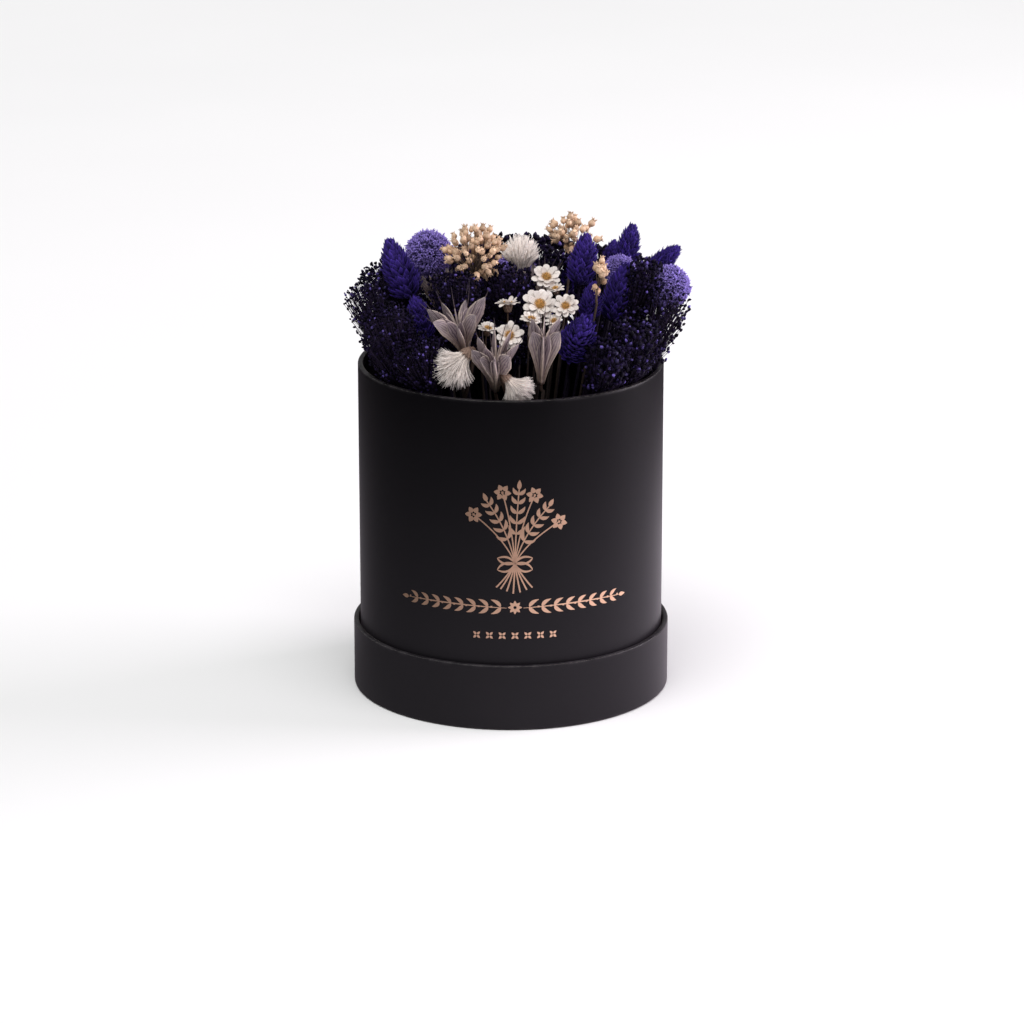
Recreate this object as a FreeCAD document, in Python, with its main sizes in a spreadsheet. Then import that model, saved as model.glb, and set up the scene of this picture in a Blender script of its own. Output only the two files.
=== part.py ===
"""Round flower box that stands in its own upturned lid, filled with dry foam and dried flowers.

Millimetres, +Z up. The origin is the centre of the lid's outer face, which everything stands on.
Board, paper and foam are turned about Z. Each flower is a stem with its head, turned about its own
Z, and stands in the foam where the planting plan puts it. A foot stands nearer the box's axis than
its head, so the stems lean outwards like a fan.
"""

import FreeCAD, Part
import math
import os

import Sketcher

doc = FreeCAD.newDocument("flower_box")
sheet = doc.addObject("Spreadsheet::Sheet", "Sizes")

SIZES = {
    # the box, and what it is made of
    "box_diameter": 150,
    "box_height": 162,
    "board": 2,
    "paper": 0.25,
    "box_turn_in": 15,  # how far the wrapping is folded over an edge
    # the lid
    "lid_height": 33,
    "lid_turn_in": 12,
    "lid_clearance": 0.8,  # between the box's wall and the lid's, all round
    "face_margin": 1,  # from a face paper's edge to the wall it is glued under
    # the foam
    "foam_clearance": 0.6,  # between the foam and the box's wall, all round
    "foam_drop": 48,  # from the box's rim down to the foam
    "stem_depth": 32,  # how deep a stem is pushed in
    "foot_share": 0.5,  # a foot's distance from the axis, as a share of its head's
    # the flowers: stem's radius, head's length and head's greatest radius, for a size of 1
    "canary_grass_stem": 0.7,
    "canary_grass_length": 27,
    "canary_grass_girth": 7,
    "billy_button_stem": 1,
    "billy_button_length": 24,
    "thistle_stem": 1.1,
    "thistle_length": 24,
    "thistle_girth": 10,
    "daisy_stem": 0.5,
    "daisy_length": 8,
    "daisy_girth": 6.8,
    "nigella_stem": 0.9,
    "nigella_length": 24,
    "nigella_girth": 11,
    "bud_spray_stem": 0.6,
    "bud_spray_length": 26,
    "broom_bloom_stem": 1.4,
    "broom_bloom_length": 44,
    "broom_bloom_girth": 8,
}

# The planting plan. A bearing is in degrees from +X, anticlockwise from above. A reach is the
# distance of a head from the axis, as a share of the box's inner radius. A rise is the height of a
# head's middle over the rim. A size multiplies the head's length and girth.
PLACE = ("bearing", "reach", "rise", "size")
PLANTING = {
    "canary_grass": [
        (185, 0.73, 48, 1.15),
        (206, 0.68, 27, 0.9),
        (3, 0.49, 51, 1.0),
        (-24, 0.59, 35, 0.75),
        (20, 0.85, 53, 0.85),
        (31, 0.80, 46, 0.6),
        (12, 0.99, 50, 0.8),
        (-10, 0.75, 37, 1.15),
        (-50, 0.69, 24, 1.15),
        (145, 0.97, 39, 1.0),
        (106, 0.84, 29, 0.95),
        (61, 0.88, 27, 1.0),
    ],
    "billy_button": [
        (160, 0.59, 50, 1.0),
        (4, 1.10, 35, 0.92),
        (8, 0.74, 43, 0.7),
        (87, 0.58, 35, 0.85),
    ],
    "thistle": [
        (72, 0.20, 47, 1.0),
        (243, 0.81, 11, 0.95),
        (274, 0.78, 2, 0.75),
    ],
    "daisy": [
        (-6, 0.24, 43, 1.05),
        (-54, 0.31, 35, 1.2),
        (-39, 0.49, 34, 0.95),
        (267, 0.48, 24, 1.0),
        (266, 0.30, 33, 0.9),
        (285, 0.49, 29, 0.8),
        (-24, 0.34, 38, 0.65),
        (-51, 0.49, 27, 0.65),
        (248, 0.44, 23, 0.75),
    ],
    "nigella": [
        (234, 0.64, 25, 1.1),
        (262, 0.69, 14, 1.0),
        (290, 0.71, 18, 0.85),
        (133, 0.76, 25, 0.9),
        (61, 0.47, 28, 0.75),
    ],
    "bud_spray": [
        (195, 0.26, 54, 1.08),
        (38, 0.54, 57, 0.85),
        (-32, 0.72, 52, 0.4),
    ],
    "broom_bloom": [
        (187, 0.97, 18, 1.0),
        (213, 0.92, 15, 1.0),
        (165, 0.88, 26, 0.85),
        (-34, 0.94, 11, 0.85),
        (-11, 1.05, 19, 0.95),
        (215, 0.44, 32, 0.75),
        (251, 0.06, 31, 0.75),
        (120, 0.89, 20, 0.95),
        (86, 0.83, 25, 1.0),
        (45, 0.97, 22, 0.95),
        (-12, 0.95, 36, 0.75),
        (-50, 0.90, 8, 0.7),
        (229, 0.89, 9, 0.7),
    ],
}

# Half outlines of the heads, upwards from the stem: shares of the head's length and of its girth.
# A head in DOMED ends in a round top over its last corner, any other in a flat one.
HEADS = {
    "canary_grass": [(0, 0.3), (0.12, 0.7), (0.35, 1), (0.65, 0.9), (0.88, 0.5)],
    "thistle": [(0, 0.25), (0.3, 0.6), (0.65, 1)],
    "daisy": [(0, 0.15), (0.5, 0.6), (0.75, 1)],
    "nigella": [(0, 0.15), (0.3, 0.36), (0.7, 0.82), (1, 1)],
    "broom_bloom": [(0, 0.14), (0.3, 0.45), (0.6, 0.92), (0.8, 1)],
}
DOMED = ("canary_grass", "thistle", "daisy", "broom_bloom")


def fill_sheet():
    """A row for each size: its name in column A, its value in column B under that name as alias."""
    rows = dict(SIZES)
    for kind, plants in PLANTING.items():
        for number, place in enumerate(plants, 1):
            rows.update((f"{kind}_{number}_{what}", value) for what, value in zip(PLACE, place))
    for row, (alias, value) in enumerate(rows.items(), 1):
        sheet.set(f"A{row}", alias)
        sheet.set(f"B{row}", str(value))
        sheet.setAlias(f"B{row}", alias)
    doc.recompute()


def value(expression):
    return float(doc.getObject("Sizes").evalExpression(expression))


# Radii and heights that several parts share, from the outside inwards and from the table upwards.
BOX_OUT = "(Sizes.box_diameter / 2)"
LID_OUT = f"({BOX_OUT} + Sizes.lid_clearance + Sizes.board + 2 * Sizes.paper)"
RIM_IN = f"({BOX_OUT} - Sizes.board - 2 * Sizes.paper)"
BOX_LOW = "(Sizes.board + 3 * Sizes.paper)"
RIM = f"({BOX_LOW} + Sizes.box_height)"
BOX_FLOOR = f"(2 * {BOX_LOW})"
FOAM_TOP = f"({RIM} - Sizes.foam_drop)"
FOOT = f"({FOAM_TOP} - Sizes.stem_depth)"


def outline(body, corners, top=None):
    """A closed sketch on the body's XZ plane through corners given as (radius, height) expressions.

    A "0" keeps a corner on an axis. With a top, the last corner is joined to the point at that
    height on the Z axis by an arc whose centre is on the axis. Otherwise all sides are straight.
    """
    sketch = body.newObject("Sketcher::SketchObject", body.Name + "_outline")
    plane = next(f for f in body.Origin.OriginFeatures if f.Role == "XZ_Plane")
    sketch.AttachmentSupport = [(plane, "")]
    sketch.MapMode = "FlatFace"
    arc = len(corners) - 1 if top else None
    ends = list(corners) + ([("0", top)] if top else [])
    points = [FreeCAD.Vector(value(radius), value(height), 0) for radius, height in ends]
    rules = []
    for side, start in enumerate(points):
        following = (side + 1) % len(points)
        if side == arc:
            rise = points[following].y - start.y
            radius = (rise**2 + start.x**2) / (2 * rise)
            centre = FreeCAD.Vector(0, points[following].y - radius, 0)
            circle = Part.Circle(centre, FreeCAD.Vector(0, 0, 1), radius)
            first = math.atan2(start.y - centre.y, start.x)
            sketch.addGeometry(Part.ArcOfCircle(circle, first, math.pi / 2), False)
            rules.append(Sketcher.Constraint("PointOnObject", side, 3, -2))
        else:
            sketch.addGeometry(Part.LineSegment(start, points[following]), False)
        rules.append(Sketcher.Constraint("Coincident", side, 2, following, 1))
    bound = {}
    for side, (radius, height) in enumerate(ends):
        for kind, axis, expression in (("DistanceX", -2, radius), ("DistanceY", -1, height)):
            if expression == "0":
                rules.append(Sketcher.Constraint("PointOnObject", side, 1, axis))
            else:
                bound[len(rules)] = expression
                rules.append(Sketcher.Constraint(kind, -1, 1, side, 1, value(expression)))
    sketch.addConstraint(rules)
    for rule, expression in bound.items():
        sketch.setExpression(f"Constraints[{rule}]", expression)
    return sketch


def turned(name, corners, top=None):
    """A body made by one full turn of an outline about its Z axis."""
    body = doc.addObject("PartDesign::Body", name)
    body.Label = name
    sketch = outline(body, corners, top)
    turn = body.newObject("PartDesign::Revolution", name + "_turn")
    turn.Profile = (sketch, [""])
    turn.ReferenceAxis = (sketch, ["V_Axis"])
    turn.Angle = 360
    return body


def shell(name, out, low, rim, turn_in):
    """The board and paper of a box or lid that is open at the top, from its outer radius inwards.

    The wall stands round the disc. The wrapping covers the wall's outside and is folded in under
    the disc and over the rim. The face paper covers the disc from below and steps up inside the
    wrapping's fold. The lining covers the disc and the wall's inside up to the other fold.
    """
    wall_out = f"({out} - Sizes.paper)"
    wall_in = f"({wall_out} - Sizes.board)"
    inner = f"({wall_in} - Sizes.paper)"
    fold_in = f"({out} - {turn_in})"
    face_out = f"({out} - Sizes.face_margin)"
    fold_low = f"({low} + Sizes.paper)"
    disc_low = f"({fold_low} + Sizes.paper)"
    disc_top = f"({disc_low} + Sizes.board)"
    floor = f"({disc_top} + Sizes.paper)"
    wall_top = f"({rim} - Sizes.paper)"
    fold_end = f"({rim} - {turn_in})"
    profiles = {
        "wall": [(wall_in, disc_low), (wall_out, disc_low), (wall_out, wall_top), (wall_in, wall_top)],
        "disc": [("0", disc_low), (wall_in, disc_low), (wall_in, disc_top), ("0", disc_top)],
        "wrap": [
            (fold_in, fold_low),
            (out, fold_low),
            (out, rim),
            (inner, rim),
            (inner, fold_end),
            (wall_in, fold_end),
            (wall_in, wall_top),
            (wall_out, wall_top),
            (wall_out, disc_low),
            (fold_in, disc_low),
        ],
        "face_paper": [
            ("0", low),
            (face_out, low),
            (face_out, fold_low),
            (fold_in, fold_low),
            (fold_in, disc_low),
            ("0", disc_low),
        ],
        "lining": [
            ("0", disc_top),
            (wall_in, disc_top),
            (wall_in, fold_end),
            (inner, fold_end),
            (inner, floor),
            ("0", floor),
        ],
    }
    return [turned(f"{name}_{piece}", corners) for piece, corners in profiles.items()]


def flower(kind, name):
    """A stem with its head, planted.

    The foot is the body's origin. The lean is the angle whose tangent is the run, from the foot
    outwards to the head's middle, over the climb between the two.
    """
    place = {what: f"Sizes.{name}_{what}" for what in PLACE}
    reach = f"({RIM_IN} * {place['reach']})"
    run = f"({reach} * (1 - Sizes.foot_share))"
    climb = f"({RIM} + {place['rise']} - {FOOT})"
    middle = f"hypot({run}; {climb})"
    length = f"(Sizes.{kind}_length * {place['size']})"
    low = f"({middle} - {length} / 2)"
    stem = f"Sizes.{kind}_stem"
    if kind in HEADS:
        girth = f"(Sizes.{kind}_girth * {place['size']})"
        head = [(f"{girth} * {wide}", f"{low} + {length} * {up}") for up, wide in HEADS[kind]]
        corners = [("0", "0"), (stem, "0"), (stem, low)] + head
        if kind in DOMED:
            body = turned(name, corners, f"({low} + {length})")
        else:
            body = turned(name, corners + [("0", f"({low} + {length})")])
    else:
        # A ball, which starts where it is as wide as the stem.
        meets = f"({middle} - sqrt(({length} / 2)^2 - {stem}^2))"
        body = turned(name, [("0", "0"), (stem, "0"), (stem, meets)], f"({low} + {length})")
    for path, expression in (
        ("Base.x", f"{reach} * Sizes.foot_share * cos({place['bearing']})"),
        ("Base.y", f"{reach} * Sizes.foot_share * sin({place['bearing']})"),
        ("Base.z", FOOT),
        ("Rotation.Axis.x", f"-sin({place['bearing']})"),
        ("Rotation.Axis.y", f"cos({place['bearing']})"),
        ("Rotation.Axis.z", "0"),
        ("Rotation.Angle", f"atan2({run}; {climb})"),
    ):
        body.setExpression(f"Placement.{path}", expression)
    return body


def foam(flowers):
    """The foam block, from the box's floor up, with a hole for each stem."""
    block = doc.addObject("Part::Cylinder", "foam_block")
    block.setExpression("Radius", f"{RIM_IN} - Sizes.foam_clearance")
    block.setExpression("Height", f"{FOAM_TOP} - {BOX_FLOOR}")
    block.setExpression("Placement.Base.z", BOX_FLOOR)
    stems = doc.addObject("Part::Compound", "planted_stems")
    stems.Links = flowers
    drilled = doc.addObject("Part::Cut", "dry_foam")
    drilled.Label = "dry_foam"
    drilled.Base = block
    drilled.Tool = stems
    return drilled


def check(pieces):
    failed = [o.Label for o in doc.Objects if {"Invalid", "Error"} & set(o.State)]
    failed += [p.Label for p in pieces if p.Shape.isNull() or not p.Shape.isValid()]
    if failed:
        raise RuntimeError("failed: " + ", ".join(failed))


def write(pieces):
    os.makedirs("parts", exist_ok=True)
    for piece in pieces:
        piece.Shape.exportStep(f"parts/{piece.Label}.step")


fill_sheet()
lid = shell("lid", LID_OUT, "0", "Sizes.lid_height", "Sizes.lid_turn_in")
box = shell("box", BOX_OUT, BOX_LOW, RIM, "Sizes.box_turn_in")
flowers = [
    flower(kind, f"{kind}_{number}")
    for kind, plants in PLANTING.items()
    for number in range(1, len(plants) + 1)
]
pieces = lid + box + [foam(flowers)] + flowers
doc.recompute()
check(pieces)
write(pieces)
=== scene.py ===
"""Looks of a round flower box: papered board box in its own lid, foil emblem, dried flowers in foam.

Shapes are worked out in millimetres in the frame's axes, and piece() turns them into metres.
"""

import math
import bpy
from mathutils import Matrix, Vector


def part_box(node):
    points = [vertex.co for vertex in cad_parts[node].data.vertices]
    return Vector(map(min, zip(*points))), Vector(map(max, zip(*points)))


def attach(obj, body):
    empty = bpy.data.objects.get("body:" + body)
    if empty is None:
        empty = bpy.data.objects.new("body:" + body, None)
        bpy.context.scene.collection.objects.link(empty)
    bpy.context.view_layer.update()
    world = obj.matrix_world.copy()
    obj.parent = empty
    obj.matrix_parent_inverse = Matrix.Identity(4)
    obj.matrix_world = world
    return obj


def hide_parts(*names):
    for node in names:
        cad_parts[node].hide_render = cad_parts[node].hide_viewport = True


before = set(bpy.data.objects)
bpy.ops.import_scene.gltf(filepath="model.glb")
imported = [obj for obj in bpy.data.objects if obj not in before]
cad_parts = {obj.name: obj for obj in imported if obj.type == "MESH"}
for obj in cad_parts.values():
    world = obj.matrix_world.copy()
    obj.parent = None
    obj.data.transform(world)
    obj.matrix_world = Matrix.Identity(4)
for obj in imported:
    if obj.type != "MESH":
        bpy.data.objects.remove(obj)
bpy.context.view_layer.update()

import zlib

import bpy
import numpy as np
from mathutils import Vector

MM = 0.001
GOLDEN_ANGLE = math.pi * (3 - math.sqrt(5))
UP = np.array((0.0, 0.0, 1.0))

# ---------------------------------------------------------------- arrays and meshes


def unit(vectors):
    """Each vector divided by its length."""
    return vectors / np.maximum(np.linalg.norm(vectors, axis=-1, keepdims=True), 1e-9)


def ring(count, first=0.0):
    """Section points (cos, sin) at even angles of a circle."""
    angles = first + np.arange(count) * 2 * math.pi / count
    return np.stack((np.cos(angles), np.sin(angles)), axis=1)


FLAT = np.array(((1.0, -1.0), (1.0, 1.0), (-1.0, 1.0), (-1.0, -1.0)))


def steps(count, first=0.0, last=1.0):
    return np.linspace(first, last, count)


def bow(start, middle, end, count):
    """Quadratic curves: (1-t)^2 start + 2t(1-t) middle + t^2 end, an array of curves by points."""
    t = steps(count)[None, :, None]
    start, middle, end = (np.atleast_2d(p)[:, None, :] for p in (start, middle, end))
    return (1 - t) ** 2 * start + 2 * t * (1 - t) * middle + t**2 * end


def sweep(centre, toward, width, depth, section, cup=0.0, tint=None):
    """Closed blades, twigs or petals, one along each centre line.

    With a tangent T, side S = toward x T and front F = T x S, a point is
    centre + width a S + (depth b + cup width a^2) F for each (a, b) of the section.
    Marks of a point: how far along, a, and the blade's tint.
    """
    count, rings, _ = centre.shape
    sides = len(section)
    tangent = unit(np.gradient(centre, axis=1))
    toward = np.broadcast_to(toward if np.ndim(toward) != 2 else toward[:, None, :], centre.shape)
    side = unit(np.cross(toward, tangent))
    front = np.cross(tangent, side)
    width = np.broadcast_to(width, (count, rings))[:, :, None, None]
    depth = np.broadcast_to(depth, (count, rings))[:, :, None, None]
    cup = np.broadcast_to(cup, (count, rings))[:, :, None, None]
    a = section[None, None, :, 0:1]
    b = section[None, None, :, 1:2]
    points = (
        centre[:, :, None, :]
        + width * a * side[:, :, None, :]
        + (depth * b + cup * width * a**2) * front[:, :, None, :]
    )
    at = np.arange(count * rings * sides).reshape(count, rings, sides)
    after = np.roll(at, -1, axis=2)
    walls = np.stack((at[:, :-1], after[:, :-1], after[:, 1:], at[:, 1:]), axis=-1).reshape(-1, 4)
    ends = np.concatenate((at[:, 0, ::-1], at[:, -1]))
    if tint is None:
        tint = np.full(count, 0.5)
    marks = np.empty((count, rings, sides, 3))
    marks[..., 0] = steps(rings)[None, :, None]
    marks[..., 1] = section[None, None, :, 0]
    marks[..., 2] = np.reshape(tint, (-1, 1, 1))
    return points.reshape(-1, 3), [walls, ends], marks.reshape(-1, 3)


def turned(radii, heights, sides):
    """A closed turned form round Z, with a ring of points for each radius and height, upwards."""
    return sweep(UP * np.reshape(heights, (1, -1, 1)), np.array([[0.0, 1.0, 0.0]]), radii, radii, ring(sides))


def round_twigs(random, paths, width, sides=3):
    """Round twigs of random tints along their paths."""
    toward = random.normal(0, 1, (len(paths), 3))
    return sweep(paths, toward, width, width, ring(sides), tint=random.random(len(paths)))


def outward(angle):
    """Directions (cos, sin, 0) across Z."""
    return np.stack((np.cos(angle), np.sin(angle), np.zeros_like(angle)), axis=-1)


def spots(out, far, high):
    """Points that lie far out along their directions across Z, and high up."""
    return out * np.reshape(far, (-1, 1)) + UP * np.reshape(high, (-1, 1))


def leaning(out, lean):
    """Directions that lean away from Z by an angle."""
    return spots(out, np.sin(lean), np.cos(lean))


def in_scene(name, data):
    """An object of its own for a mesh, light or camera, linked into the scene."""
    thing = bpy.data.objects.new(name, data)
    bpy.context.scene.collection.objects.link(thing)
    return thing


def piece(name, parts, body, replaces=None, smooth=True):
    """One mesh object from (part, material) pairs, in metres, with its marks as point attributes."""
    points, marks, corners, starts, finishes = [], [], [], [], []
    materials = []
    first, corner = 0, 0
    for (part_points, part_faces, part_marks), material in parts:
        if material not in materials:
            materials.append(material)
        points.append(part_points)
        marks.append(part_marks)
        for faces in part_faces:
            corners.append((faces + first).ravel())
            starts.append(corner + np.arange(len(faces)) * faces.shape[1])
            finishes.append(np.full(len(faces), materials.index(material)))
            corner += faces.size
        first += len(part_points)
    points, marks, corners = (np.concatenate(arrays) for arrays in (points, marks, corners))
    starts, finishes = np.concatenate(starts), np.concatenate(finishes)
    mesh = bpy.data.meshes.new(name)
    mesh.vertices.add(len(points))
    mesh.vertices.foreach_set("co", (points * MM).astype(np.float32).ravel())
    mesh.loops.add(len(corners))
    mesh.loops.foreach_set("vertex_index", corners.astype(np.int32))
    mesh.polygons.add(len(starts))
    mesh.polygons.foreach_set("loop_start", starts.astype(np.int32))
    mesh.polygons.foreach_set("material_index", finishes.astype(np.int32))
    mesh.polygons.foreach_set("use_smooth", np.full(len(starts), smooth))
    for index, mark in enumerate(("along", "across", "tint")):
        values = mesh.attributes.new(mark, "FLOAT", "POINT")
        values.data.foreach_set("value", marks[:, index].astype(np.float32))
    mesh.update(calc_edges=True)
    for material in materials:
        mesh.materials.append(material)
    thing = in_scene(name, mesh)
    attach(thing, body)
    if replaces:
        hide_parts(replaces)
    return thing


# ---------------------------------------------------------------- shader nodes


def add(tree, kind, values=None, **settings):
    """A node with its settings, and its inputs given as constants or as sockets to link from."""
    node = tree.nodes.new(kind)
    for key, value in settings.items():
        setattr(node, key, value)
    for key, value in (values or {}).items():
        if isinstance(value, bpy.types.NodeSocket):
            tree.links.new(value, node.inputs[key])
        else:
            node.inputs[key].default_value = value
    return node


NUMBER, COLOUR, VECTOR = "NodeSocketFloat", "NodeSocketColor", "NodeSocketVector"
BLACK, WHITE = (0, 0, 0, 1), (1, 1, 1, 1)


def group(name, inputs, outputs):
    """An empty shader group. inputs are values by name, outputs are kinds of socket by name."""
    tree = bpy.data.node_groups.new(name, "ShaderNodeTree")
    for title, value in inputs.items():
        kind = COLOUR if isinstance(value, tuple) else NUMBER
        tree.interface.new_socket(title, in_out="INPUT", socket_type=kind).default_value = value
    for title, kind in outputs.items():
        tree.interface.new_socket(title, in_out="OUTPUT", socket_type=kind)
    return tree, tree.nodes.new("NodeGroupInput"), tree.nodes.new("NodeGroupOutput")


def mix(tree, share, first, second):
    return add(tree, "ShaderNodeMix", {0: share, 6: first, 7: second}, data_type="RGBA").outputs[2]


def maths(tree, operation, first, second=0.0, clamp=False):
    node = add(tree, "ShaderNodeMath", {0: first, 1: second}, operation=operation, use_clamp=clamp)
    return node.outputs[0]


def place(tree):
    return tree.nodes.new("ShaderNodeTexCoord").outputs["Object"]


def mark(tree, name):
    return add(tree, "ShaderNodeAttribute", attribute_name=name).outputs["Fac"]


def noise(tree, scale, detail):
    values = {"Vector": place(tree), "Scale": scale, "Detail": detail}
    return add(tree, "ShaderNodeTexNoise", values).outputs["Fac"]


def bump(tree, strength, distance, height):
    values = {"Strength": strength, "Distance": distance, "Height": height}
    return add(tree, "ShaderNodeBump", values).outputs["Normal"]


def make_dried():
    """Colour of a dried plant part: root to tip, each blade a little lighter or darker, and mottled.

    Ribs are dark lines along the blade, from a sine of how far across a point is, bent by noise. The
    margin is a band near both edges of the blade.
    """
    tree, given, put = group(
        "dried_plant",
        {
            "Root": BLACK, "Tip": WHITE, "Reach": 1.0, "Spread": 0.5, "Mottle": 0.3, "Grain": 900.0,
            "Ribs": 6.0, "Rib Colour": BLACK, "Rib Share": 0.0, "Margin Colour": WHITE, "Margin Share": 0.0,
            "Relief": 0.2,
        },
        {"Color": COLOUR, "Normal": VECTOR},
    )
    here = given.outputs
    way = maths(tree, "POWER", mark(tree, "along"), here["Reach"])
    colour = mix(tree, way, here["Root"], here["Tip"])
    grain = noise(tree, here["Grain"], 3.0)
    across = mark(tree, "across")
    waver = maths(tree, "MULTIPLY", grain, 2.2)
    bent = maths(tree, "ADD", maths(tree, "MULTIPLY", across, here["Ribs"]), waver)
    rib = maths(tree, "POWER", maths(tree, "ABSOLUTE", maths(tree, "SINE", bent)), 0.7)
    line = maths(tree, "MULTIPLY", maths(tree, "SUBTRACT", 1.0, rib), here["Rib Share"], clamp=True)
    colour = mix(tree, line, colour, here["Rib Colour"])
    margin = maths(tree, "POWER", maths(tree, "ABSOLUTE", across), 6.0)
    margin = maths(tree, "MULTIPLY", margin, here["Margin Share"], clamp=True)
    colour = mix(tree, margin, colour, here["Margin Colour"])
    shift = maths(tree, "MULTIPLY", maths(tree, "SUBTRACT", mark(tree, "tint"), 0.5), here["Spread"])
    speck = maths(tree, "MULTIPLY", maths(tree, "SUBTRACT", grain, 0.5), here["Mottle"])
    light = maths(tree, "ADD", 1.0, maths(tree, "MULTIPLY", maths(tree, "ADD", shift, speck), 2.0))
    scaled = add(tree, "ShaderNodeVectorMath", {0: colour, "Scale": light}, operation="SCALE")
    tree.links.new(scaled.outputs[0], put.inputs["Color"])
    relief = bump(tree, here["Relief"], 0.0002, maths(tree, "ADD", rib, grain))
    tree.links.new(relief, put.inputs["Normal"])
    return tree


def make_fibre():
    """Paper or board: cloudy density and fine fibres. Puts out a mask, a roughness and a normal."""
    inputs = {"Scale": 400.0, "Roughness": 0.5, "Variation": 0.1, "Relief": 0.1}
    outputs = {"Mask": NUMBER, "Roughness": NUMBER, "Normal": VECTOR}
    tree, given, put = group("paper_fibre", inputs, outputs)
    here = given.outputs
    fine = noise(tree, here["Scale"], 6.0)
    both = maths(tree, "MULTIPLY", maths(tree, "ADD", fine, noise(tree, 28.0, 3.0)), 0.5)
    change = maths(tree, "MULTIPLY", maths(tree, "SUBTRACT", both, 0.5), here["Variation"])
    tree.links.new(both, put.inputs["Mask"])
    tree.links.new(maths(tree, "ADD", here["Roughness"], change), put.inputs["Roughness"])
    tree.links.new(bump(tree, here["Relief"], 0.0001, fine), put.inputs["Normal"])
    return tree


DRIED = make_dried()
FIBRE = make_fibre()


def material(name, constants):
    """A material with a Principled shader whose constant values are set on its own sockets."""
    made = bpy.data.materials.new(name)
    made.use_nodes = True
    tree = made.node_tree
    shader = tree.nodes["Principled BSDF"]
    for key, value in constants.items():
        shader.inputs[key].default_value = value
    return made, tree, shader


def dried(name, root, tip, roughness=0.8, sheen=0.0, sheen_tint=(1, 1, 1), specular=0.3, **values):
    """A dried plant's material, from its root and tip colours."""
    constants = {"Roughness": roughness, "Sheen Weight": sheen, "Sheen Tint": (*sheen_tint, 1)}
    made, tree, shader = material(name, constants | {"Specular IOR Level": specular})
    node = add(tree, "ShaderNodeGroup", node_tree=DRIED)
    node.inputs["Root"].default_value = (*root, 1)
    node.inputs["Tip"].default_value = (*tip, 1)
    for key, value in values.items():
        title = key.replace("_", " ").title()
        node.inputs[title].default_value = (*value, 1) if isinstance(value, tuple) else value
    tree.links.new(node.outputs["Color"], shader.inputs["Base Color"])
    tree.links.new(node.outputs["Normal"], shader.inputs["Normal"])
    return made


def papered(name, dark, pale, fibre, constants, worn=None, low=None):
    """A paper or board material, clouded from a dark to a pale tone.

    fibre gives the fibre group's scale, roughness, variation and relief. A worn tone comes through
    in patches by the piece's "along" mark, and a low tone is mixed in by its "across" mark: painted
    light that makes the paper lighter towards the bottom, where the pale floor lights it.
    """
    made, tree, shader = material(name, constants)
    node = add(tree, "ShaderNodeGroup", node_tree=FIBRE)
    for key, value in zip(("Scale", "Roughness", "Variation", "Relief"), fibre):
        node.inputs[key].default_value = value
    colour = mix(tree, node.outputs["Mask"], (*dark, 1), (*pale, 1))
    # Painted light: the low tone lightens the paper towards the bottom, in place of light from the floor.
    if low:
        colour = mix(tree, mark(tree, "across"), colour, (*low, 1))
    if worn:
        patches = maths(tree, "SUBTRACT", noise(tree, 160.0, 5.0), 0.42)
        rubbed = maths(tree, "MULTIPLY", patches, 3.0, clamp=True)
        colour = mix(tree, maths(tree, "MULTIPLY", rubbed, mark(tree, "along")), colour, (*worn, 1))
    tree.links.new(colour, shader.inputs["Base Color"])
    tree.links.new(node.outputs["Roughness"], shader.inputs["Roughness"])
    tree.links.new(node.outputs["Normal"], shader.inputs["Normal"])
    return made


SOFT_TOUCH = {
    "Specular IOR Level": 0.12, "Sheen Weight": 0.03, "Sheen Roughness": 0.4,
    "Sheen Tint": (0.85, 0.68, 0.85, 1),
}
SMOOTH = (2600, 0.37, 0.12, 0.10)
# The box's paper: its low tone is painted floor light, lighter towards the bottom of the wall; its worn tone
# is edge wear.
BLACK_PAPER = papered(
    "black_soft_touch_paper", (0.0012, 0.0010, 0.0015), (0.0030, 0.0025, 0.0036), SMOOTH, SOFT_TOUCH,
    worn=(0.030, 0.026, 0.030), low=(0.014, 0.0124, 0.0150),
)
# The lid's paper is the box's black paper made paler as painted light, where the lid catches more light than
# the wall.
LID_PAPER_PAINTED_LIGHTER = papered(
    "black_paper_painted_lighter_for_lid", (0.010, 0.0088, 0.0106), (0.015, 0.0132, 0.0160), SMOOTH, SOFT_TOUCH,
    worn=(0.040, 0.036, 0.040),
)
GREYBOARD = papered(
    "greyboard", (0.20, 0.18, 0.16), (0.36, 0.33, 0.30), (900, 0.9, 0.1, 0.5),
    {"Specular IOR Level": 0.2},
)
FOAM = papered(
    "dry_foam", (0.030, 0.026, 0.024), (0.075, 0.066, 0.060), (1300, 0.95, 0.1, 1.0),
    {"Specular IOR Level": 0.1},
)
FOIL = papered(
    "rose_gold_foil", (0.62, 0.37, 0.25), (1.0, 0.68, 0.47), (1500, 0.36, 0.3, 0.25),
    {"Metallic": 1.0},
)
GRASS_SCALE = dried(
    "canary_grass_scale", (0.006, 0.002, 0.034), (0.040, 0.020, 0.200), roughness=0.8, sheen=0.10,
    sheen_tint=(0.4, 0.35, 1.0), specular=0.12, reach=0.9, spread=0.55, ribs=5.0,
    rib_colour=(0.012, 0.004, 0.06), rib_share=0.4,
)
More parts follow.
